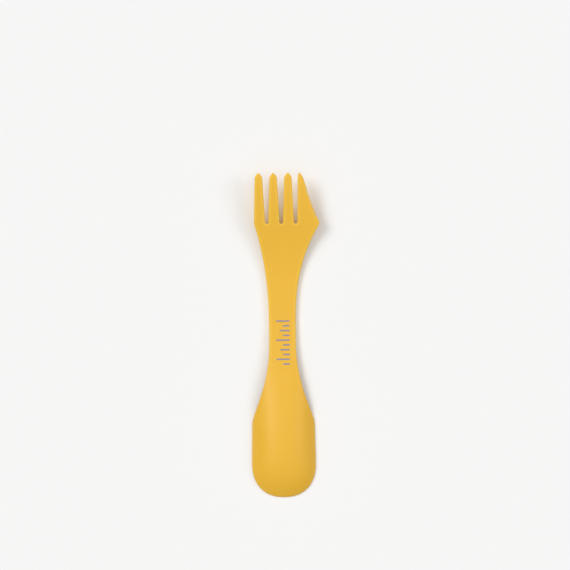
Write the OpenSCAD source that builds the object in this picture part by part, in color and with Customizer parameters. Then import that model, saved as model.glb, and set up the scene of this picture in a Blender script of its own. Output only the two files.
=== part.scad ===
// A moulded two-ended spork: a spoon bowl at one end, a fork with a cutting edge at the other.
// It lies as it rests on a table, bowl face down and fork raised.
// X runs across the handle, Y from the bowl to the tines, Z up from the table.
// The origin is on the table, under the middle of the flat belly of the handle.

/* [Handle] */
// Width of the handle at its narrow waist
waist_w = 14; // [11:0.1:16]
// Length of the stretch of the waist with parallel sides
waist_l = 9; // [2:1:14]
// Distance from the middle of the belly back to the middle of the waist
waist_back = 13.5; // [8:0.5:18]
// Thickness of the handle
handle_t = 3; // [2.4:0.1:4]
// Length of the flat belly that touches the table
belly_l = 10; // [6:1:16]
// Radius of the rounded long edges
edge_r = 0.9; // [0.4:0.1:1.2]

/* [Bowl] */
// Distance from the middle of the belly to the end of the bowl
bowl_reach = 99; // [90:1:112]
// Width of the bowl where its rounded end begins
bowl_w = 33.5; // [29:0.1:38]
// Width of the bowl at its shoulders
shoulder_w = 32.8; // [28:0.1:38]
// Length of the bowl from its end to its shoulders
bowl_l = 40; // [34:1:46]
// Length of the rounded end of the bowl
bowl_end_l = 18; // [12:0.5:22]
// Fullness of the rounded end, where 2 is a plain ellipse
bowl_end_power = 2.3; // [2:0.1:3]
// Height of the crown of the bowl above the table
bowl_h = 9.3; // [7:0.1:12]
// Distance from the end of the bowl to its crown
crown_l = 30; // [22:1:38]
// Fullness of the bowl's long section towards its end, where 2 is a parabola
fall_power = 3; // [2:0.1:4]
// Fullness of the bowl's cross section, where 2 is a parabola
arch_power = 2.5; // [2:0.1:3.5]
// Wall of the bowl, measured straight down
bowl_t = 2; // [1.4:0.1:2.6]
// Height of the outer edge of the rim
rim_h = 0.9; // [0.6:0.1:1.3]
// Length of the straight flank above each shoulder
flank_l = 12; // [6:1:20]
// Softening of each shoulder corner
shoulder_soft = 0.7; // [0.2:0.1:1.4]
// Length over which the cross curve of the bowl fades into the flat handle
arch_fade_l = 46; // [26:1:54]

/* [Fork] */
// Distance from the middle of the belly to the tine tips
fork_reach = 71; // [64:1:84]
// Height of the underside of the tine tips above the table
tip_rise = 10; // [5:0.5:16]
// How late along the fork it rises, where 1 is steepest halfway
rise_power = 1.3; // [1:0.1:1.8]
// Length of the tines, from the roots of the slots
tine_l = 26.5; // [20:0.5:32]
// Thickness of the palm of the fork
palm_t = 2.4; // [1.8:0.1:3.2]
// Thickness of the tine tips
tine_tip_t = 1.5; // [1:0.1:2.2]
// Distance between the slots at their roots
slot_pitch = 7.55; // [6.6:0.05:8]
// Width of each slot at its root
slot_w = 1.8; // [1.2:0.1:2.8]
// Distance between the plain tines at their tips
tip_pitch = 7.7; // [7:0.1:8.2]
// Distance from the long axis to the tip of the middle plain tine
mid_tine_x = 4; // [3.6:0.1:4.4]
// Width of each plain tine where its point begins
tine_tip_w = 3.8; // [2.6:0.1:4.6]
// Length of the point of each tine
point_l = 3; // [1.6:0.1:5]
// Width of the blunt end of each point
blunt_w = 0.7; // [0.4:0.1:1.2]
// Fullness of each point, where 1 has straight sides
point_power = 2; // [1:0.1:3]
// Reach of the plain side of the fork from the long axis
fork_side = 14.3; // [12.6:0.1:16]
// Curve of the flare on the plain side
side_power = 2.25; // [1.6:0.05:2.8]
// Rise of the fork's long sides above its middle
dish = 0.6; // [0:0.1:1.5]

/* [Cutting edge] */
// Reach of the heel of the cutting edge from the long axis
blade_reach = 20.2; // [17:0.1:23]
// Curve of the flare below the heel
blade_power = 2.5; // [1.8:0.05:3.2]
// Place across the fork where the cutting edge would meet the level of the tips
blade_tip_x = 10.9; // [10.4:0.1:12.5]
// Place across the fork of the inner side of the blade tine at its tip
blade_tine_x = 8.85; // [8:0.05:9.4]
// How far the cutting edge bows inwards
hollow = 0.4; // [0:0.1:1.4]
// Width of the bevel along the cutting edge
bevel_w = 2.2; // [1.4:0.1:3]
// Thickness of the plastic at the cutting edge
blade_t = 0.9; // [0.6:0.1:1.4]
// Number of teeth
tooth_count = 10; // [6:1:12]
// Distance between teeth along the fork
tooth_pitch = 1.45; // [1.1:0.05:1.5]
// Depth of the notches between teeth
tooth_depth = 0.65; // [0.2:0.05:0.9]
// Distance from the heel to the first tooth
heel_l = 3.4; // [2:0.1:5]

/* [Printed scale] */
// Number of printed lines
mark_count = 10; // [4:1:11]
// Distance between printed lines
mark_pitch = 2.5; // [1.6:0.1:2.6]
// Thickness of each printed line along the handle
mark_w = 0.8; // [0.4:0.1:1.2]
// Length of the long lines, one every four
long_mark_l = 7; // [5:0.1:7.6]
// Length of the middle lines
mid_mark_l = 5; // [3.6:0.1:6]
// Length of the short lines
short_mark_l = 3.4; // [2:0.1:4.4]
// Place across the handle where every line starts
mark_x = 3.7; // [2.6:0.1:4.2]
// Distance from the middle of the belly back to the first line
mark_back = 6.5; // [6:0.5:12]
// Thickness of the ink
ink_t = 0.05; // [0.02:0.01:0.15]

/* [Hidden] */

// Four tines, with three slots between them
TINES = 4;
// Points across each tine: its two walls, one step in from each, and its middle
ACROSS = 5;
COLUMNS = TINES * ACROSS;
// Most of a tine's width that its rounded edges may take, on each side
edge_share = 0.3;
// Most of a wall that one rounded edge may take
fillet_share = 0.3;
// Share of the slot's width where its round root starts
root_share = 0.5;
// Length of the flat nose at the very end of the bowl
nose_l = 0.06;
// Stations closer together than this count as one
min_step = 0.08;
// Distance between stations along the bowl, neck, palm and tines
bowl_step = 4.4;
neck_step = 3.6;
// Stations round the end of the bowl and along each point
end_steps = 9;
point_steps = 4;
root_steps = 3;

belly_end = belly_l / 2;
bowl_end_y = bowl_end_l - bowl_reach;
shoulder_y = bowl_l - bowl_reach;
crown_y = crown_l - bowl_reach;
flank_y = -waist_back - waist_l / 2;
flare_y = -waist_back + waist_l / 2;
root_y = fork_reach - tine_l;
point_y = fork_reach - point_l;
slot_r = slot_w / 2;
slot_start_y = root_y + slot_r * (1 - cos(asin(root_share)));
teeth_y = root_y + heel_l;
side_tip_x = mid_tine_x + tip_pitch + tine_tip_w / 2;

// The curved part of the flank is a parabola, and the straight part goes on along its slope
flank_curve_l = flank_y - shoulder_y - flank_l;
flank_bend = (shoulder_w - waist_w) / 2 / (flank_curve_l * (flank_curve_l + 2 * flank_l));

function sq(v) = v * v;
function mix(a, b, t) = a + (b - a) * t;
function unit(t) = min(1, max(0, t));
function ease(t) = let (u = unit(t)) u * u * (3 - 2 * u);
function soft_min(a, b, soft) =
    let (h = max(soft - abs(a - b), 0) / soft)
    min(a, b) - h * h * soft / 4;
function sorted(list) =
    len(list) < 2 ? list :
    let (pivot = list[floor(len(list) / 2)])
    concat(
        sorted([for (v = list) if (v < pivot) v]),
        [for (v = list) if (v == pivot) v],
        sorted([for (v = list) if (v > pivot) v])
    );
function spaced(list) =
    [for (i = [0 : len(list) - 1]) if (i == 0 || list[i] - list[i - 1] > min_step) list[i]];
function steps(a, b, step) =
    let (count = max(1, ceil((b - a) / step)))
    [for (i = [0 : count]) mix(a, b, i / count)];

// Half widths of the outline on the bowl side of the waist
function bowl_half(y) =
    let (e = max(nose_l, y + bowl_reach))
    e < bowl_end_l ?
    bowl_w / 2 * pow(1 - pow(1 - e / bowl_end_l, bowl_end_power), 1 / bowl_end_power) :
    mix(bowl_w, shoulder_w, (e - bowl_end_l) / (bowl_l - bowl_end_l)) / 2;
function flank_half(y) =
    let (u = max(0, flank_y - y), c = flank_curve_l)
    waist_w / 2 + flank_bend * (u < c ? sq(u) : c * (2 * u - c));
function spoon_half(y) = soft_min(flank_half(y), bowl_half(y), shoulder_soft);

// Outline on the fork side of the waist
function flare(y, reach, power) =
    mix(waist_w / 2, reach, pow(max(0, y - flare_y) / (root_y - flare_y), power));
function tooth(y) =
    let (q = (y - teeth_y) / tooth_pitch)
    q > 0 && q < tooth_count ? tooth_depth * (1 - abs(2 * (q - floor(q)) - 1)) : 0;
function blade_x(y) =
    let (t = (y - root_y) / tine_l)
    mix(blade_reach, blade_tip_x, t) - 4 * hollow * t * (1 - t) - tooth(y);
function left_x(y) =
    y < flare_y ? -spoon_half(y) :
    y < root_y ? -flare(y, fork_side, side_power) :
    -mix(fork_side, side_tip_x, (y - root_y) / tine_l);
function right_x(y) =
    y < flare_y ? spoon_half(y) :
    y < root_y ? flare(y, blade_reach, blade_power) :
    blade_x(y);

// Walls of the slots: slot is 0 to 2 from the plain side, and side is -1 or 1
function tine_x(tine) = (tine - 1) * tip_pitch - mid_tine_x;
function slot_x(slot) = (slot - 1) * slot_pitch;
function slot_tip_x(slot, side) =
    side < 0 ? tine_x(slot) + tine_tip_w / 2 :
    slot < 2 ? tine_x(slot + 1) - tine_tip_w / 2 :
    blade_tine_x;
function slot_wall(y, slot, side) =
    y < root_y + slot_r ?
    slot_x(slot) + side * sqrt(max(0, sq(slot_r) - sq(root_y + slot_r - y))) :
    mix(slot_x(slot) + side * slot_r, slot_tip_x(slot, side), (y - root_y - slot_r) / (tine_l - slot_r));
function palm_wall(y, slot, side) =
    let (low = left_x(slot_start_y), high = right_x(slot_start_y))
    mix(left_x(y), right_x(y), (slot_wall(slot_start_y, slot, side) - low) / (high - low));
function inner_wall(y, slot, side) =
    y < slot_start_y ? palm_wall(y, slot, side) : slot_wall(y, slot, side);

// Each tine draws in to a blunt point
function point_x(tine) = tine < TINES - 1 ? tine_x(tine) : (blade_tine_x + blade_x(point_y)) / 2 - blunt_w;
function drawn_in(y, tine, wall) =
    let (t = unit((y - point_y) / point_l), x = point_x(tine), end = x + sign(wall - x) * blunt_w / 2)
    mix(wall, end, pow(t, point_power));
function tine_left(y, tine) = drawn_in(y, tine, tine == 0 ? left_x(y) : inner_wall(y, tine - 1, 1));
function tine_right(y, tine) =
    drawn_in(y, tine, tine == TINES - 1 ? right_x(y) : inner_wall(y, tine, -1));

// Heights: the top along the axis, the wall under it and the curve across it
function crown_z(y) =
    y < crown_y ? mix(bowl_h, rim_h, pow((crown_y - y) / crown_l, fall_power)) :
    y < -belly_end ? mix(bowl_h, handle_t, ease((y - crown_y) / (-belly_end - crown_y))) :
    wall_t(y) + tip_rise * ease(pow(unit((y - belly_end) / (fork_reach - belly_end)), rise_power));
function wall_t(y) =
    y < -belly_end ? mix(bowl_t, handle_t, ease((y - shoulder_y) / (-belly_end - shoulder_y))) :
    y < root_y ? mix(handle_t, palm_t, ease((y - belly_end) / (root_y - belly_end))) :
    mix(palm_t, tine_tip_t, (y - root_y) / tine_l);
function arch(x, y) =
    let (bowl_y = min(y, shoulder_y), left = 1 - ease((y - shoulder_y) / arch_fade_l))
    left * (crown_z(bowl_y) - rim_h) * pow(abs(x) / spoon_half(bowl_y), arch_power);
function top_z(x, y) =
    crown_z(y) - arch(x, y) + dish * ease((y - belly_end) / (root_y - belly_end)) * sq(x / fork_side);
function under_z(x, y) = max(0, top_z(x, y) - wall_t(y));

// Edges: how far in the rounding starts, and how much it takes off each face at the wall
function on_blade(y, tine) = tine == TINES - 1 && y >= root_y;
function inset(width, most) = min(most, width * edge_share);
function fillet(y) = min(edge_r, wall_t(y) * fillet_share) * ease((y - shoulder_y) / arch_fade_l);
function bevel(y) =
    let (thinned = max(fillet(y), (wall_t(y) - blade_t) / 2))
    mix(fillet(y), thinned, ease((fork_reach - y) / point_l));

// One point of a face: column runs from the plain side to the cutting edge
function face_point(y, column, is_top) =
    let (
        tine = floor(column / ACROSS),
        place = column % ACROSS,
        low = tine_left(y, tine),
        high = tine_right(y, tine),
        low_in = low + inset(high - low, edge_r),
        high_in = high - inset(high - low, on_blade(y, tine) ? bevel_w : edge_r),
        x = [low, low_in, (low_in + high_in) / 2, high_in, high][place],
        outer = column == 0 || column == COLUMNS - 1,
        at_wall = (place == 0 || place == ACROSS - 1) && (outer || y >= slot_start_y),
        cut = !at_wall ? 0 : place > 0 && on_blade(y, tine) ? bevel(y) : fillet(y)
    )
    [x, y, is_top ? top_z(x, y) - cut : under_z(x, y) + cut];

stations = spaced(sorted(concat(
    [for (i = [0 : end_steps]) -bowl_reach + bowl_end_l * (1 - cos(90 * i / end_steps))],
    steps(bowl_end_y, shoulder_y - 2 * shoulder_soft, bowl_step),
    steps(shoulder_y - 2 * shoulder_soft, shoulder_y + 2 * shoulder_soft, 4 / 3 * shoulder_soft),
    steps(shoulder_y + 2 * shoulder_soft, -belly_end, neck_step),
    [belly_end],
    steps(belly_end, slot_start_y - edge_r, neck_step),
    [for (i = [0 : root_steps]) root_y + slot_r * (1 - cos(mix(asin(root_share), 90, i / root_steps)))],
    [for (i = [0 : 2 * tooth_count]) teeth_y + i * tooth_pitch / 2],
    [for (i = [0 : point_steps]) point_y + point_l * i / point_steps]
)));
LAST = len(stations) - 1;

// Each station holds its top points, then its underside points
function top_i(i, c) = 2 * COLUMNS * i + c;
function under_i(i, c) = top_i(i, c) + COLUMNS;
function quad(a, b, c, d) = [[a, b, c], [a, c, d]];
function is_slot(c) = c % ACROSS == ACROSS - 1;
function open_at(i) = stations[i] >= slot_start_y;

module spork_moulding() {
    points = [
        for (y = stations)
            each concat(
                [for (c = [0 : COLUMNS - 1]) face_point(y, c, true)],
                [for (c = [0 : COLUMNS - 1]) face_point(y, c, false)]
            )
    ];
    skins = [
        for (i = [0 : LAST - 1], c = [0 : COLUMNS - 2])
            if (!(is_slot(c) && open_at(i)))
                each concat(
                    quad(top_i(i, c), top_i(i + 1, c), top_i(i + 1, c + 1), top_i(i, c + 1)),
                    quad(under_i(i, c), under_i(i, c + 1), under_i(i + 1, c + 1), under_i(i + 1, c))
                )
    ];
    left_walls = [
        for (i = [0 : LAST - 1], c = [0 : ACROSS : COLUMNS - 1])
            if (c == 0 || open_at(i))
                each quad(top_i(i, c), under_i(i, c), under_i(i + 1, c), top_i(i + 1, c))
    ];
    right_walls = [
        for (i = [0 : LAST - 1], c = [ACROSS - 1 : ACROSS : COLUMNS - 1])
            if (c == COLUMNS - 1 || open_at(i))
                each quad(top_i(i, c), top_i(i + 1, c), under_i(i + 1, c), under_i(i, c))
    ];
    first_open = [for (i = [0 : LAST]) if (open_at(i)) i][0];
    slot_roots = [
        for (c = [ACROSS - 1 : ACROSS : COLUMNS - 2])
            let (i = first_open)
                each quad(top_i(i, c), under_i(i, c), under_i(i, c + 1), top_i(i, c + 1))
    ];
    bowl_cap = [
        for (c = [0 : COLUMNS - 2])
            each quad(top_i(0, c), top_i(0, c + 1), under_i(0, c + 1), under_i(0, c))
    ];
    tip_caps = [
        for (c = [0 : COLUMNS - 2])
            if (!is_slot(c))
                each quad(top_i(LAST, c), under_i(LAST, c), under_i(LAST, c + 1), top_i(LAST, c + 1))
    ];
    color([0.93, 0.73, 0.26])
        polyhedron(points, concat(skins, left_walls, right_walls, slot_roots, bowl_cap, tip_caps));
}

// Length of one printed line: long every fourth, middle halfway, short between
function mark_l(i) = i % 4 == 0 ? long_mark_l : i % 2 == 0 ? mid_mark_l : short_mark_l;

// A film of ink that follows the top of the handle
module ink_line(y, length) {
    cells = 4;
    xs = [for (i = [0 : cells]) mark_x - length + length * i / cells];
    ring = [for (x = xs) each [[x, y - mark_w / 2], [x, y + mark_w / 2]]];
    points = concat(
        [for (p = ring) [p.x, p.y, top_z(p.x, p.y)]],
        [for (p = ring) [p.x, p.y, top_z(p.x, p.y) + ink_t]]
    );
    upper = len(ring);
    faces = concat(
        [for (i = [0 : cells - 1]) let (a = 2 * i) each concat(
            quad(a, a + 2, a + 3, a + 1),
            quad(upper + a, upper + a + 1, upper + a + 3, upper + a + 2),
            quad(a, upper + a, upper + a + 2, a + 2),
            quad(a + 1, a + 3, upper + a + 3, upper + a + 1)
        )],
        quad(0, 1, upper + 1, upper),
        quad(2 * cells, upper + 2 * cells, upper + 2 * cells + 1, 2 * cells + 1)
    );
    polyhedron(points, faces);
}

module handle_print() {
    color([0.58, 0.57, 0.63])
        for (i = [0 : mark_count - 1])
            ink_line(-mark_back - i * mark_pitch, mark_l(i));
}

spork_moulding();
handle_print();
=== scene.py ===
import math
import bpy
import numpy as np
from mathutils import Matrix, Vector
from mathutils.geometry import delaunay_2d_cdt


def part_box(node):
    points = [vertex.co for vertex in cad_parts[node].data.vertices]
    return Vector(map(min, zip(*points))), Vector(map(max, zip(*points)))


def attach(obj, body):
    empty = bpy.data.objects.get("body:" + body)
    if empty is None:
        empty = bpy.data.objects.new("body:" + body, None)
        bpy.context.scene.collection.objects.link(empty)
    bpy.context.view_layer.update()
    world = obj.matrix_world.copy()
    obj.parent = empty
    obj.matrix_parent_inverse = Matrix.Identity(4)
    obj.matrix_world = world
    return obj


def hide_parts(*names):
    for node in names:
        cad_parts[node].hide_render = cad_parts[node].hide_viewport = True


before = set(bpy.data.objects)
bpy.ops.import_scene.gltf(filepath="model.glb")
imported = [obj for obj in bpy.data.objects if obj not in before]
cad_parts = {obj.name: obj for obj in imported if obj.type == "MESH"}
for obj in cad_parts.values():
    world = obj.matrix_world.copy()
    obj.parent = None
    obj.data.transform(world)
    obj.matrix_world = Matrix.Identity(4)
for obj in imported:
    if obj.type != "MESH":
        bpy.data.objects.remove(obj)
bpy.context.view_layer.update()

# Camera, table and light
# The spork lies on a pale table with its bowl face down, and a long lens looks straight down on it.
# A white room lights it most from the ceiling, with a soft lamp high on each side, the left stronger.
mm = 0.001
picture_w = 298.6 * mm
lens_mm = 200
sensor_mm = 36
lean = math.radians(0.64)
aim = Vector((1.6 * mm, 12.4 * mm, 5 * mm))

camera = bpy.data.objects.new("camera", bpy.data.cameras.new("camera"))
camera.data.lens = lens_mm
camera.data.sensor_width = sensor_mm
camera.location = aim + Vector((0, 0, picture_w * lens_mm / sensor_mm))
camera.rotation_euler = (0, 0, -lean)
bpy.context.scene.collection.objects.link(camera)
bpy.context.scene.camera = camera
bpy.context.scene.view_settings.view_transform = "Standard"


def add_node(tree, kind, *values, named=None, **settings):
    """A new node with its properties set and its inputs linked or set, in order or by name."""
    node = tree.nodes.new(kind)
    for key, value in settings.items():
        setattr(node, key, value)
    feeds = list(zip(node.inputs, values))
    feeds += [(node.inputs[key], value) for key, value in (named or {}).items()]
    for socket, value in feeds:
        if isinstance(value, bpy.types.NodeSocket):
            tree.links.new(value, socket)
        else:
            socket.default_value = value
    return node


def calc(tree, operation, *values):
    return add_node(tree, "ShaderNodeMath", *values, operation=operation).outputs[0]


table_reach = 4.0
table_drop = 0.05 * mm
table_colour = (0.93, 0.93, 0.925, 1)
table_mesh = bpy.data.meshes.new("table")
table_signs = [(-1, -1), (1, -1), (1, 1), (-1, 1)]
table_corners = [(x * table_reach, y * table_reach, -table_drop) for x, y in table_signs]
table_mesh.from_pydata(table_corners, [], [(0, 1, 2, 3)])
table = bpy.data.objects.new("table", table_mesh)
bpy.context.scene.collection.objects.link(table)
table_paint = bpy.data.materials.new("table_paint")
table_paint.use_nodes = True
table_paint.node_tree.nodes["Principled BSDF"].inputs["Base Color"].default_value = table_colour
table_paint.node_tree.nodes["Principled BSDF"].inputs["Roughness"].default_value = 0.9
table_paint.node_tree.nodes["Principled BSDF"].inputs["Specular IOR Level"].default_value = 0.1
table_mesh.materials.append(table_paint)

ceiling_level = 0.88
room = bpy.data.worlds.new("white_room")
room.use_nodes = True
bpy.context.scene.world = room
direction = add_node(room.node_tree, "ShaderNodeTexCoord").outputs["Generated"]
upward = add_node(room.node_tree, "ShaderNodeSeparateXYZ", direction).outputs["Z"]
room_glow = calc(room.node_tree, "MULTIPLY", calc(room.node_tree, "MAXIMUM", upward, 0), ceiling_level)
seen = add_node(room.node_tree, "ShaderNodeLightPath").outputs["Is Camera Ray"]
room_light = room.node_tree.nodes["Background"]
room_light.inputs["Color"].default_value = (1, 1, 1, 1)
room_strength = calc(room.node_tree, "MAXIMUM", room_glow, seen)
room.node_tree.links.new(room_strength, room_light.inputs["Strength"])

lamp_spread = math.radians(28)
lamps = {
    "left_lamp": (Vector((-0.56, 0.32, 0.77)), 0.38),
    "right_lamp": (Vector((0.75, 0.13, 0.64)), 0.18),
}
for name, (stand, level) in lamps.items():
    lamp = bpy.data.objects.new(name, bpy.data.lights.new(name, "SUN"))
    lamp.data.angle = lamp_spread
    lamp.data.energy = level * math.pi
    lamp.location = stand
    lamp.rotation_euler = stand.to_track_quat("Z", "Y").to_euler()
    bpy.context.scene.collection.objects.link(lamp)

# The moulding
# Bowl, handle, fork and cutting edge are one injection moulding in opaque yellow-orange polypropylene.
# Two mould halves meet along the middle of its edges, and ejector pins leave faint rounds underneath.
low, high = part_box("spork_moulding")
bowl_reach = -low.y
bowl_w = -2 * low.x
fork_reach = high.y
blade_reach = high.x

# Plan of the bowl and handle
waist_w = 14 * mm
shoulder_w = 32.8 * mm
bowl_l = 40 * mm
bowl_end_l = 18 * mm
bowl_end_power = 2.3
shoulder_soft = 0.7 * mm
flank_y = -18 * mm
flank_l = 12 * mm
flare_y = -9 * mm
bowl_end_y = bowl_end_l - bowl_reach
shoulder_y = bowl_l - bowl_reach
flank_curve_l = flank_y - flank_l - shoulder_y
flank_bend = (shoulder_w - waist_w) / 2 / (flank_curve_l * (flank_curve_l + 2 * flank_l))

# Plan of the fork and its cutting edge
tine_l = 26.5 * mm
root_y = fork_reach - tine_l
slot_pitch = 7.55 * mm
slot_r = 0.9 * mm
tine_pitch = 7.7 * mm
tine_tip_w = 3.8 * mm
mid_tine_x = 4 * mm
point_l = 3 * mm
point_y = fork_reach - point_l
point_power = 2
blunt_r = 0.5 * mm
fork_side = 14.3 * mm
side_tip_x = 13.6 * mm
side_power = 2.25
blade_power = 2.5
blade_tip_x = 10.9 * mm
blade_tine_x = 8.85 * mm
blade_hollow = 0.4 * mm
corner_soft = 0.2 * mm
tooth_count = 10
tooth_pitch = 1.45 * mm
tooth_depth = 0.65 * mm
teeth_y = root_y + 3.4 * mm


def mix(a, b, t):
    return a + (b - a) * t


def soft_min(a, b, soft):
    """The smaller of two curves, with the corner where they cross rounded off."""
    near = max(soft - abs(a - b), 0) / soft
    return min(a, b) - near * near * soft / 4


def bowl_half(y):
    past_end = max(y + bowl_reach, 0)
    if past_end < bowl_end_l:
        return bowl_w / 2 * (1 - (1 - past_end / bowl_end_l) ** bowl_end_power) ** (1 / bowl_end_power)
    return mix(bowl_w, shoulder_w, (past_end - bowl_end_l) / (bowl_l - bowl_end_l)) / 2


def flank_half(y):
    back = max(flank_y - y, 0)
    bent = back * back if back < flank_curve_l else flank_curve_l * (2 * back - flank_curve_l)
    return waist_w / 2 + flank_bend * bent


def spoon_half(y):
    return soft_min(flank_half(y), bowl_half(y), shoulder_soft)


def flare(y, reach, power):
    return mix(waist_w / 2, reach, (max(y - flare_y, 0) / (root_y - flare_y)) ** power)


def blade_line(y):
    t = (y - root_y) / tine_l
    return mix(blade_reach, blade_tip_x, t) - 4 * blade_hollow * t * (1 - t)


def blade_edge(y):
    """The cutting edge: its hollow line, less the notches between the teeth."""
    tooth = (y - teeth_y) / tooth_pitch
    notch = 1 - abs(2 * (tooth % 1) - 1) if 0 < tooth < tooth_count else 0
    return blade_line(y) - tooth_depth * notch


def side_line(y):
    return mix(fork_side, side_tip_x, (y - root_y) / tine_l)


def right_side(y):
    if y < flare_y:
        return spoon_half(y)
    return soft_min(flare(y, blade_reach, blade_power), blade_edge(y), corner_soft)


def left_side(y):
    if y < flare_y:
        return -spoon_half(y)
    return -soft_min(flare(y, fork_side, side_power), side_line(y), corner_soft)


def tine_x(tine):
    return (tine - 1) * tine_pitch - mid_tine_x


def slot_wall(y, slot, side):
    """A slot's straight wall, which opens out from the round root to the tips of its tines."""
    tine = slot if side < 0 else slot + 1
    tip_x = blade_tine_x if tine == 3 else tine_x(tine) - side * tine_tip_w / 2
    root_x = (slot - 1) * slot_pitch + side * slot_r
    return mix(root_x, tip_x, (y - root_y - slot_r) / (tine_l - slot_r))


def tine_tip(tine):
    """A tine's point, from its right wall over the blunt end to its left wall."""
    def right(y):
        return right_side(y) if tine == 3 else slot_wall(y, tine, -1)

    def left(y):
        return left_side(y) if tine == 0 else slot_wall(y, tine - 1, 1)

    nose_x = tine_x(tine) if tine < 3 else (left(point_y) + right(point_y)) / 2 - blunt_r
    nose_y = fork_reach - blunt_r

    def drawn_in(wall):
        """A wall's curve in towards the round nose, and the turn of the nose where they meet."""
        lean = math.atan2(point_power * (abs(wall(point_y) - nose_x) - blunt_r / 2), point_l)
        end_x = nose_x + math.copysign(blunt_r * math.cos(lean), wall(point_y) - nose_x)
        end_y = nose_y + blunt_r * math.sin(lean)
        steps = [(i / 12, mix(point_y, end_y, i / 12)) for i in range(12)]
        return [(mix(wall(y), end_x, t ** point_power), y) for t, y in steps], lean

    rising, right_turn = drawn_in(right)
    falling, left_turn = drawn_in(left)
    turns = np.linspace(right_turn, math.pi - left_turn, 9)
    nose = [(nose_x + blunt_r * math.cos(a), nose_y + blunt_r * math.sin(a)) for a in turns]
    return rising + nose + falling[::-1]


def slot_loop(slot):
    """A slot's edge, down the wall on its right, round the root and up the wall on its left."""
    heights = np.linspace(point_y, root_y + slot_r, 48)
    down = [(slot_wall(y, slot, 1), y) for y in heights[1:-1]]
    up = [(slot_wall(y, slot, -1), y) for y in reversed(heights[1:-1])]
    turns = [-math.pi * i / 16 for i in range(17)]
    middle = (slot - 1) * slot_pitch
    root = [(middle + slot_r * math.cos(a), root_y + slot_r + slot_r * math.sin(a)) for a in turns]
    return down + root + up


def bowl_nose(turn):
    return bowl_end_l * (1 - math.cos(turn) ** (2 / bowl_end_power)) - bowl_reach


side_ys = [bowl_nose(math.pi / 2 * i / 64) for i in range(64)]
side_ys += list(np.linspace(bowl_end_y, flare_y, 145)[:-1])
side_ys += list(np.linspace(flare_y, teeth_y, 115)[:-1])
teeth_end_y = teeth_y + tooth_count * tooth_pitch
right_ys = side_ys + list(np.linspace(teeth_y, teeth_end_y, tooth_count * 8 + 1))
right_ys += list(np.linspace(teeth_end_y, point_y, 14)[1:-1])
left_ys = side_ys + list(np.linspace(teeth_y, point_y, 42)[:-1])
plan = [(right_side(y), y) for y in right_ys]
for tine in (3, 2, 1, 0):
    plan += tine_tip(tine)
    if tine:
        plan += slot_loop(tine - 1)
plan += [(left_side(y), y) for y in reversed(left_ys[1:])]
outline = np.array(plan)
outline_next = np.roll(outline, -1, axis=0)


def depth_inside(points):
    """How far each point lies inside the outline; negative outside it."""
    run = outline_next - outline
    depths = []
    for part in np.array_split(points, max(1, len(points) // 400)):
        from_start = part[:, None] - outline
        t = np.clip((from_start * run).sum(2) / (run * run).sum(1), 0, 1)
        gap = np.linalg.norm(from_start - t[..., None] * run, axis=2).min(1)
        below = outline[:, 1] <= part[:, 1:2]
        crosses = below != (outline_next[:, 1] <= part[:, 1:2])
        rise = np.where(run[:, 1] == 0, 1, run[:, 1])
        cut_x = outline[:, 0] + (part[:, 1:2] - outline[:, 1]) / rise * run[:, 0]
        inside = (crosses & (cut_x > part[:, :1])).sum(1) % 2 == 1
        depths.append(np.where(inside, gap, -gap))
    return np.concatenate(depths)


# Rings of points follow the outline where the edge is rounded, and a grid fills the middle
draft = 0.03 * mm
ring_insets = [draft, 0.06 * mm, 0.12 * mm, 0.22 * mm, 0.36 * mm, 0.55 * mm, 0.8 * mm, 1.2 * mm]
grid_step = 0.75 * mm
pin_marks = [(0, -69 * mm, 2.5 * mm), (0, -24 * mm, 2 * mm), (0, 27 * mm, 2 * mm)]
pin_depth = 0.08 * mm
pin_edge = 0.15 * mm

to_next = outline_next - outline
to_next /= np.linalg.norm(to_next, axis=1, keepdims=True)
heading = to_next + np.roll(to_next, 1, axis=0)
heading /= np.linalg.norm(heading, axis=1, keepdims=True)
inward = np.column_stack((-heading[:, 1], heading[:, 0]))
fill = []
for inset in ring_insets:
    ring = outline + inward * inset
    fill.append(ring[depth_inside(ring) > 0.6 * inset])
grid_xs = np.arange(low.x, high.x, grid_step)
grid_ys = np.arange(low.y, high.y, grid_step)
grid = np.array([(x, y) for y in grid_ys for x in grid_xs])
grid = grid[depth_inside(grid) > ring_insets[-1] + grid_step / 2]
for x, y, r in pin_marks:
    off_ring = abs(np.hypot(grid[:, 0] - x, grid[:, 1] - y) - r + pin_edge / 2)
    grid = grid[off_ring > grid_step / 2]
    turns = np.linspace(0, 2 * math.pi, 40, endpoint=False)
    for mark_r in (r, r - pin_edge / 2, r - pin_edge):
        fill.append(np.column_stack((x + mark_r * np.cos(turns), y + mark_r * np.sin(turns))))
fill = np.concatenate(fill + [grid])

# A chord from edge to edge would join the top to the underside, so each gets a point in its middle
edge_ring = list(range(len(outline)))
while True:
    points = [Vector(p) for p in np.concatenate((outline, fill))]
    flat, _, triangles, origins, _, _ = delaunay_2d_cdt(points, [], [edge_ring], 1, 1e-8)
    flat = np.array([tuple(p) for p in flat])
    inset = np.maximum(depth_inside(flat), 0)
    on_edge = np.array([min(ids) < len(outline) for ids in origins])
    place = [min(ids) for ids in origins]
    chords = set()
    for corners in triangles:
        for a, b in zip(corners, corners[1:] + corners[:1]):
            apart = abs(place[a] - place[b])
            if on_edge[a] and on_edge[b] and apart not in (1, len(outline) - 1):
                chords.add((min(a, b), max(a, b)))
    if not chords:
        break
    fill = np.concatenate((fill, [(flat[a] + flat[b]) / 2 for a, b in chords]))
inset[on_edge] = 0

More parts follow.
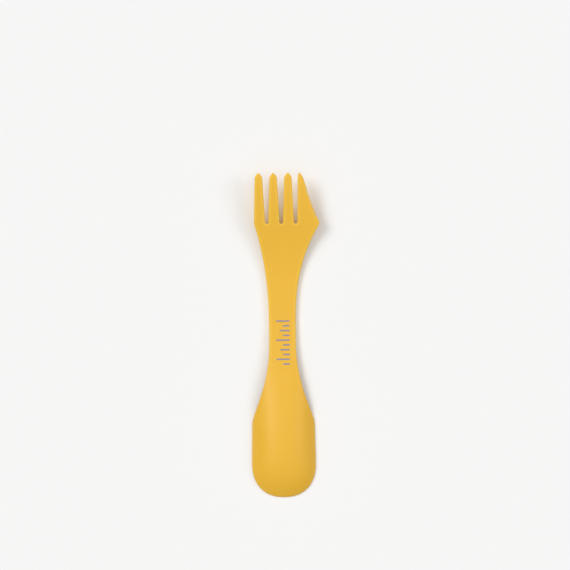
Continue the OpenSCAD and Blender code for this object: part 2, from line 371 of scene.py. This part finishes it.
# Top and underside are the same plan twice, joined along the outline where the mould halves meet
inner = np.flatnonzero(~on_edge)
under_of = np.arange(len(flat))
under_of[inner] = len(flat) + np.arange(len(inner))
sheet_points = np.concatenate((flat, flat[inner]))
sheet_mesh = bpy.data.meshes.new("spork_plan")
top_faces = [tuple(t) for t in triangles]
under_faces = [tuple(int(under_of[i]) for i in reversed(t)) for t in triangles]
sheet_mesh.from_pydata([(x, y, 0) for x, y in sheet_points], [], top_faces + under_faces)


def keep_values(mesh, name, values):
    attribute = mesh.attributes.new(name, "FLOAT", "POINT")
    attribute.data.foreach_set("value", np.asarray(values, np.float32))


def pin_mark(x, y):
    """Height of the shallow rounds that the ejector pins leave in the underside."""
    deep = [min(max((r - math.hypot(x - mx, y - my)) / pin_edge, 0), 1) for mx, my, r in pin_marks]
    return pin_depth * max(deep)


far_from_blade = 1.0
sheet_inset = np.concatenate((inset, inset[inner]))
sheet_side = np.concatenate((np.ones(len(flat)), -np.ones(len(inner))))
bowl_halves = [max(spoon_half(min(y, shoulder_y)), blunt_r) for _, y in sheet_points]
blade_gaps = [
    blade_line(y) - x if y > root_y and x > slot_pitch else far_from_blade for x, y in sheet_points
]
marks = [pin_mark(x, y) if side < 0 else 0 for (x, y), side in zip(sheet_points, sheet_side)]
keep_values(sheet_mesh, "inset", sheet_inset)
keep_values(sheet_mesh, "side", sheet_side)
keep_values(sheet_mesh, "across", sheet_points[:, 0] / np.array(bowl_halves))
keep_values(sheet_mesh, "from_blade", blade_gaps)
keep_values(sheet_mesh, "pin_mark", marks)

# The side profile: the flat plan is lifted into the arched bowl, the sloping handle and the rising fork
profile_sizes = {
    "Bowl End": -bowl_reach,
    "Crown Place": -69 * mm,
    "Shoulder Place": shoulder_y,
    "Arch End": shoulder_y + 46 * mm,
    "Belly Back": -5 * mm,
    "Belly Front": 5 * mm,
    "Slot Roots": root_y,
    "Teeth Start": teeth_y,
    "Points Start": point_y,
    "Fork End": fork_reach,
    "Bowl Height": 9.3 * mm,
    "Rim Height": 0.9 * mm,
    "Rim Softness": 0.6 * mm,
    "Rim Width": 1.6 * mm,
    "Rim Drop": 0.25 * mm,
    "Fall Power": 3.0,
    "Arch Power": 2.5,
    "Bowl Wall": 2 * mm,
    "Handle Thickness": 3 * mm,
    "Palm Thickness": 2.4 * mm,
    "Tip Thickness": 1.5 * mm,
    "Tip Rise": 10 * mm,
    "Rise Power": 1.3,
    "Dish": 0.56 * mm,
    "Fork Side": fork_side,
    "Draft": draft,
    "Rim Radius": 0.35 * mm,
    "Edge Radius": 0.6 * mm,
    "Blade Thickness": 0.9 * mm,
    "Bevel Width": 2.2 * mm,
}
profile = bpy.data.node_groups.new("spork_side_profile", "GeometryNodeTree")
profile.interface.new_socket("Geometry", in_out="INPUT", socket_type="NodeSocketGeometry")
for name in profile_sizes:
    profile.interface.new_socket(name, in_out="INPUT", socket_type="NodeSocketFloat")
profile.interface.new_socket("Plastic", in_out="INPUT", socket_type="NodeSocketMaterial")
profile.interface.new_socket("Geometry", in_out="OUTPUT", socket_type="NodeSocketGeometry")
profile_in = add_node(profile, "NodeGroupInput")
size = profile_in.outputs


def along(y, start, end, first, last, curve="SMOOTHSTEP"):
    """A value that goes from first to last as y goes from start to end."""
    ends = (start, end, first, last)
    return add_node(profile, "ShaderNodeMapRange", y, *ends, interpolation_type=curve).outputs[0]


def kept(name):
    return add_node(profile, "GeometryNodeInputNamedAttribute", name, data_type="FLOAT").outputs[0]


def fork_thinning(y):
    palm_less = calc(profile, "SUBTRACT", size["Palm Thickness"], size["Handle Thickness"])
    tip_less = calc(profile, "SUBTRACT", size["Tip Thickness"], size["Palm Thickness"])
    palm = along(y, size["Belly Front"], size["Slot Roots"], 0, palm_less)
    tines = along(y, size["Slot Roots"], size["Fork End"], 0, tip_less, "LINEAR")
    return calc(profile, "ADD", palm, tines)


def crown(y):
    """Height of the middle line's top: down off the bowl to the belly, and up again along the fork."""
    neck_drop = (size["Bowl Height"], size["Handle Thickness"])
    neck = along(y, size["Crown Place"], size["Belly Back"], *neck_drop)
    back = along(y, size["Bowl End"], size["Crown Place"], 1, 0, "LINEAR")
    bowl_fall = calc(profile, "SUBTRACT", size["Bowl Height"], size["Rim Height"])
    fall = calc(profile, "MULTIPLY", bowl_fall, calc(profile, "POWER", back, size["Fall Power"]))
    ahead = along(y, size["Belly Front"], size["Fork End"], 0, 1, "LINEAR")
    rise = along(calc(profile, "POWER", ahead, size["Rise Power"]), 0, 1, 0, size["Tip Rise"])
    bowl_and_neck = calc(profile, "SUBTRACT", neck, fall)
    return calc(profile, "ADD", bowl_and_neck, calc(profile, "ADD", rise, fork_thinning(y)))


spot = add_node(profile, "GeometryNodeInputPosition").outputs[0]
spot_x, spot_y, _ = add_node(profile, "ShaderNodeSeparateXYZ", spot).outputs
neck_ends = (size["Shoulder Place"], size["Belly Back"])
neck_wall = along(spot_y, *neck_ends, size["Bowl Wall"], size["Handle Thickness"])
wall = calc(profile, "ADD", neck_wall, fork_thinning(spot_y))

bowl_y = calc(profile, "MINIMUM", spot_y, size["Shoulder Place"])
arch_h = calc(profile, "SUBTRACT", crown(bowl_y), size["Rim Height"])
arch_left = along(spot_y, size["Shoulder Place"], size["Arch End"], 1, 0)
out_from_middle = calc(profile, "POWER", calc(profile, "ABSOLUTE", kept("across")), size["Arch Power"])
arch = calc(profile, "MULTIPLY", calc(profile, "MULTIPLY", arch_h, arch_left), out_from_middle)
dish_h = along(spot_y, size["Belly Front"], size["Slot Roots"], 0, size["Dish"])
dish_x = calc(profile, "DIVIDE", spot_x, size["Fork Side"])
dish = calc(profile, "MULTIPLY", dish_h, calc(profile, "MULTIPLY", dish_x, dish_x))
near_rim = along(kept("inset"), 0, size["Rim Width"], 1, 0, "LINEAR")
rim_turn = calc(profile, "MULTIPLY", calc(profile, "MULTIPLY", near_rim, near_rim), size["Rim Drop"])
lowered = calc(profile, "MULTIPLY_ADD", rim_turn, arch_left, arch)
top = calc(profile, "ADD", calc(profile, "SUBTRACT", crown(spot_y), lowered), dish)

rim_soft = along(spot_y, size["Shoulder Place"], size["Arch End"], size["Rim Softness"], 0)
under = calc(profile, "SMOOTH_MAX", calc(profile, "SUBTRACT", top, wall), 0, rim_soft)
middle = calc(profile, "MULTIPLY", calc(profile, "ADD", top, under), 0.5)
half = calc(profile, "MULTIPLY", calc(profile, "SUBTRACT", top, under), 0.5)

blade_less = calc(profile, "MULTIPLY", calc(profile, "SUBTRACT", wall, size["Blade Thickness"]), 0.5)
bevel = along(kept("from_blade"), 0, size["Bevel Width"], blade_less, 0, "LINEAR")
heel_fade = along(spot_y, size["Slot Roots"], size["Teeth Start"], 0, 1)
point_fade = along(spot_y, size["Points Start"], size["Fork End"], 1, 0)
bevel = calc(profile, "MULTIPLY", bevel, calc(profile, "MULTIPLY", heel_fade, point_fade))

edge_radii = (size["Rim Radius"], size["Edge Radius"])
edge_r = along(spot_y, size["Shoulder Place"], size["Arch End"], *edge_radii)
edge_room = calc(profile, "MULTIPLY", calc(profile, "SUBTRACT", half, bevel), 0.85)
edge_r = calc(profile, "MINIMUM", edge_r, edge_room)
past_draft = calc(profile, "SUBTRACT", kept("inset"), size["Draft"])
short = calc(profile, "SUBTRACT", edge_r, calc(profile, "MAXIMUM", past_draft, 0))
short = calc(profile, "MAXIMUM", short, 0)
edge_sq = calc(profile, "MULTIPLY", edge_r, edge_r)
short_sq = calc(profile, "MULTIPLY", short, short)
chord = calc(profile, "SQRT", calc(profile, "SUBTRACT", edge_sq, short_sq))
rounding = calc(profile, "SUBTRACT", edge_r, chord)
reach = calc(profile, "SUBTRACT", calc(profile, "SUBTRACT", half, rounding), bevel)
off_seam = along(kept("inset"), 0, size["Draft"], 0, 1, "LINEAR")
reach = calc(profile, "MULTIPLY", calc(profile, "MULTIPLY", reach, off_seam), kept("side"))
height = calc(profile, "ADD", calc(profile, "ADD", middle, reach), kept("pin_mark"))

lifted_to = add_node(profile, "ShaderNodeCombineXYZ", spot_x, spot_y, height).outputs[0]
lifted = add_node(
    profile,
    "GeometryNodeSetPosition",
    named={"Geometry": profile_in.outputs["Geometry"], "Position": lifted_to},
).outputs[0]
smoothed = add_node(profile, "GeometryNodeSetShadeSmooth", lifted).outputs[0]
realized = add_node(profile, "GeometryNodeRealizeInstances", smoothed).outputs[0]
coated = add_node(
    profile,
    "GeometryNodeSetMaterial",
    named={"Geometry": realized, "Material": profile_in.outputs["Plastic"]},
).outputs[0]
add_node(profile, "NodeGroupOutput", coated)

# The plastic: satin from the mould's etched steel, faintly streaked along its flow, and with a painted
# highlight and painted glow of light through the thin plastic: paler along the rounded edges of handle
# and fork, but not along the blade
plastic_colour = (0.855, 0.475, 0.025, 1)
plastic_pale = (0.885, 0.505, 0.033, 1)
# The paler edge colour is a painted highlight and painted glow of light through the thin edge, not the
# plastic's own colour
painted_edge_highlight_colour = (0.98, 0.66, 0.075, 1)
painted_highlight_strength = 0.4
painted_highlight_width = 2 * mm
painted_highlight_start_y = -45 * mm
painted_highlight_full_y = -15 * mm
smoothest = 0.42
roughest = 0.5
plastic = bpy.data.materials.new("moulded_plastic")
plastic.use_nodes = True
paint = plastic.node_tree
paint_shader = paint.nodes["Principled BSDF"]
object_place = add_node(paint, "ShaderNodeTexCoord").outputs["Object"]
cloud = add_node(
    paint,
    "ShaderNodeTexNoise",
    named={"Vector": object_place, "Scale": 70, "Detail": 3, "Roughness": 0.5},
).outputs[0]
flow_place = add_node(
    paint, "ShaderNodeMapping", named={"Vector": object_place, "Scale": (1, 0.1, 1)}
).outputs[0]
flow = add_node(
    paint,
    "ShaderNodeTexNoise",
    named={"Vector": flow_place, "Scale": 400, "Detail": 2, "Roughness": 0.5},
).outputs[0]
streak = calc(paint, "MULTIPLY_ADD", flow, 0.4, calc(paint, "MULTIPLY", cloud, 0.6))
tone = add_node(paint, "ShaderNodeMix", data_type="RGBA", named={"Factor": streak})
tone.inputs[6].default_value = plastic_colour
tone.inputs[7].default_value = plastic_pale
# Painted highlight: the base colour turns paler within a couple of millimetres of the outline, fading out
# towards the bowl and near the blade
edge_inset = add_node(paint, "ShaderNodeAttribute", attribute_name="inset").outputs["Fac"]
highlight_at_edge = add_node(
    paint, "ShaderNodeMapRange", edge_inset, 0, painted_highlight_width, painted_highlight_strength, 0, interpolation_type="SMOOTHSTEP"
).outputs[0]
object_y = add_node(paint, "ShaderNodeSeparateXYZ", object_place).outputs["Y"]
highlight_off_bowl = add_node(paint, "ShaderNodeMapRange", object_y, painted_highlight_start_y, painted_highlight_full_y, 0, 1).outputs[0]
blade_gap = add_node(paint, "ShaderNodeAttribute", attribute_name="from_blade").outputs["Fac"]
highlight_off_blade = add_node(paint, "ShaderNodeMapRange", blade_gap, 0, painted_highlight_width, 0, 1).outputs[0]
painted_highlight = calc(paint, "MULTIPLY", highlight_at_edge, calc(paint, "MULTIPLY", highlight_off_bowl, highlight_off_blade))
highlighted = add_node(paint, "ShaderNodeMix", data_type="RGBA")
paint.links.new(painted_highlight, highlighted.inputs["Factor"])
paint.links.new(tone.outputs[2], highlighted.inputs[6])
highlighted.inputs[7].default_value = painted_edge_highlight_colour
paint.links.new(highlighted.outputs[2], paint_shader.inputs["Base Color"])
etch = add_node(
    paint,
    "ShaderNodeTexNoise",
    named={"Vector": object_place, "Scale": 4200, "Detail": 2, "Roughness": 0.6},
).outputs[0]
rough = add_node(paint, "ShaderNodeMapRange", cloud, 0.3, 0.7, smoothest, roughest).outputs[0]
paint.links.new(rough, paint_shader.inputs["Roughness"])
grain = add_node(
    paint, "ShaderNodeBump", named={"Strength": 0.25, "Distance": 0.01 * mm, "Height": etch}
).outputs[0]
paint.links.new(grain, paint_shader.inputs["Normal"])
paint_shader.inputs["IOR"].default_value = 1.49
paint_shader.inputs["Subsurface Weight"].default_value = 0.08
paint_shader.inputs["Subsurface Radius"].default_value = (1, 0.5, 0.15)
paint_shader.inputs["Subsurface Scale"].default_value = 0.8 * mm


def made_by_nodes(name, mesh, tree, sizes):
    """A plain mesh object from a tree of nodes, each of whose named inputs takes its size."""
    piece = bpy.data.objects.new(name, mesh)
    bpy.context.scene.collection.objects.link(piece)
    maker = piece.modifiers.new(tree.name, "NODES")
    maker.node_group = tree
    for item in tree.interface.items_tree:
        if item.in_out == "INPUT" and item.name in sizes:
            maker[item.identifier] = sizes[item.name]
    evaluated = piece.evaluated_get(bpy.context.evaluated_depsgraph_get())
    finished = bpy.data.meshes.new_from_object(evaluated)
    piece.modifiers.remove(maker)
    piece.data = finished
    finished.name = name
    return piece


moulding = made_by_nodes("spork_body", sheet_mesh, profile, {**profile_sizes, "Plastic": plastic})
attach(moulding, "root")
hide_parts("spork_moulding")

# The printed scale
# A row of short ruled lines on the handle, in a grey-violet ink pressed on with a soft pad.
# The ink is a thin film that follows the plastic under it, a little uneven where the pad left it.
scale_sizes = {
    "Mark Count": 10,
    "Mark Pitch": 2.5 * mm,
    "Mark Width": 0.8 * mm,
    "Long Mark": 7 * mm,
    "Middle Mark": 5 * mm,
    "Short Mark": 3.4 * mm,
    "Right End": 3.7 * mm,
    "First Mark": -6.5 * mm,
    "Ink Thickness": 0.05 * mm,
}
ruled = bpy.data.node_groups.new("printed_scale", "GeometryNodeTree")
for name, value in scale_sizes.items():
    kind = "NodeSocketInt" if isinstance(value, int) else "NodeSocketFloat"
    ruled.interface.new_socket(name, in_out="INPUT", socket_type=kind)
ruled.interface.new_socket("Moulding", in_out="INPUT", socket_type="NodeSocketObject")
ruled.interface.new_socket("Ink", in_out="INPUT", socket_type="NodeSocketMaterial")
ruled.interface.new_socket("Geometry", in_out="OUTPUT", socket_type="NodeSocketGeometry")
ruled_in = add_node(ruled, "NodeGroupInput").outputs

first_spot = add_node(
    ruled, "ShaderNodeCombineXYZ", ruled_in["Right End"], ruled_in["First Mark"], 0
).outputs[0]
pitch_down = calc(ruled, "MULTIPLY", ruled_in["Mark Pitch"], -1)
next_spot = add_node(ruled, "ShaderNodeCombineXYZ", 0, pitch_down, 0).outputs[0]
row = add_node(
    ruled,
    "GeometryNodeMeshLine",
    named={"Count": ruled_in["Mark Count"], "Start Location": first_spot, "Offset": next_spot},
).outputs[0]
number = add_node(ruled, "GeometryNodeInputIndex").outputs[0]
by_four = calc(ruled, "COMPARE", calc(ruled, "MODULO", number, 4), 0, 0.5)
by_two = calc(ruled, "COMPARE", calc(ruled, "MODULO", number, 2), 0, 0.5)
shorter = add_node(
    ruled,
    "GeometryNodeSwitch",
    by_two,
    ruled_in["Short Mark"],
    ruled_in["Middle Mark"],
    input_type="FLOAT",
).outputs[0]
mark_l = add_node(
    ruled, "GeometryNodeSwitch", by_four, shorter, ruled_in["Long Mark"], input_type="FLOAT"
).outputs[0]

blank = add_node(ruled, "GeometryNodeMeshGrid", 1, 1, 29, 9).outputs[0]
mark_scale = add_node(ruled, "ShaderNodeCombineXYZ", mark_l, ruled_in["Mark Width"], 1).outputs[0]
to_end = add_node(
    ruled, "GeometryNodeTransform", named={"Geometry": blank, "Translation": (-0.5, 0, 0)}
).outputs[0]
marks_on = add_node(
    ruled, "GeometryNodeInstanceOnPoints", named={"Points": row, "Instance": to_end, "Scale": mark_scale}
).outputs[0]
loose = add_node(ruled, "GeometryNodeRealizeInstances", marks_on).outputs[0]
over = add_node(ruled, "GeometryNodeObjectInfo", ruled_in["Moulding"]).outputs["Geometry"]
here = add_node(ruled, "GeometryNodeInputPosition").outputs[0]
ray_start = 50 * mm
above = add_node(ruled, "ShaderNodeVectorMath", here, (0, 0, ray_start), operation="ADD").outputs[0]
landing = add_node(
    ruled,
    "GeometryNodeRaycast",
    named={"Target Geometry": over, "Source Position": above, "Ray Length": 2 * ray_start},
).outputs["Hit Position"]
laid = add_node(
    ruled, "GeometryNodeSetPosition", named={"Geometry": loose, "Position": landing}
).outputs[0]
raised = add_node(
    ruled,
    "GeometryNodeExtrudeMesh",
    named={"Mesh": laid, "Offset Scale": ruled_in["Ink Thickness"], "Individual": False},
).outputs[0]
footing = add_node(ruled, "GeometryNodeFlipFaces", laid).outputs[0]
film_parts = add_node(ruled, "GeometryNodeJoinGeometry", raised).outputs[0]
ruled.links.new(footing, film_parts.node.inputs[0])
film = add_node(
    ruled, "GeometryNodeMergeByDistance", named={"Geometry": film_parts, "Distance": 0.001 * mm}
).outputs[0]
film = add_node(ruled, "GeometryNodeRealizeInstances", film).outputs[0]
inked = add_node(
    ruled, "GeometryNodeSetMaterial", named={"Geometry": film, "Material": ruled_in["Ink"]}
).outputs[0]
add_node(ruled, "NodeGroupOutput", inked)

ink_colour = (0.27, 0.25, 0.34, 1)
ink_worn_colour = (0.42, 0.34, 0.3, 1)
ink = bpy.data.materials.new("print_ink")
ink.use_nodes = True
ink_shader = ink.node_tree.nodes["Principled BSDF"]
ink_place = add_node(ink.node_tree, "ShaderNodeTexCoord").outputs["Object"]
ink_cloud = add_node(
    ink.node_tree,
    "ShaderNodeTexNoise",
    named={"Vector": ink_place, "Scale": 2500, "Detail": 3, "Roughness": 0.6},
).outputs[0]
ink_worn = add_node(ink.node_tree, "ShaderNodeMapRange", ink_cloud, 0.45, 0.75, 0, 1).outputs[0]
ink_tone = add_node(ink.node_tree, "ShaderNodeMix", data_type="RGBA", named={"Factor": ink_worn})
ink_tone.inputs[6].default_value = ink_colour
ink_tone.inputs[7].default_value = ink_worn_colour
ink.node_tree.links.new(ink_tone.outputs[2], ink_shader.inputs["Base Color"])
ink_rough = add_node(ink.node_tree, "ShaderNodeMapRange", ink_cloud, 0.3, 0.7, 0.5, 0.62).outputs[0]
ink.node_tree.links.new(ink_rough, ink_shader.inputs["Roughness"])
ink_bump = add_node(
    ink.node_tree, "ShaderNodeBump", named={"Strength": 0.3, "Distance": 0.01 * mm, "Height": ink_cloud}
).outputs[0]
ink.node_tree.links.new(ink_bump, ink_shader.inputs["Normal"])

scale_mesh = bpy.data.meshes.new("scale_blank")
scale_inputs = {**scale_sizes, "Moulding": moulding, "Ink": ink}
scale = made_by_nodes("printed_scale", scale_mesh, ruled, scale_inputs)
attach(scale, "root")
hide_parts("handle_print")
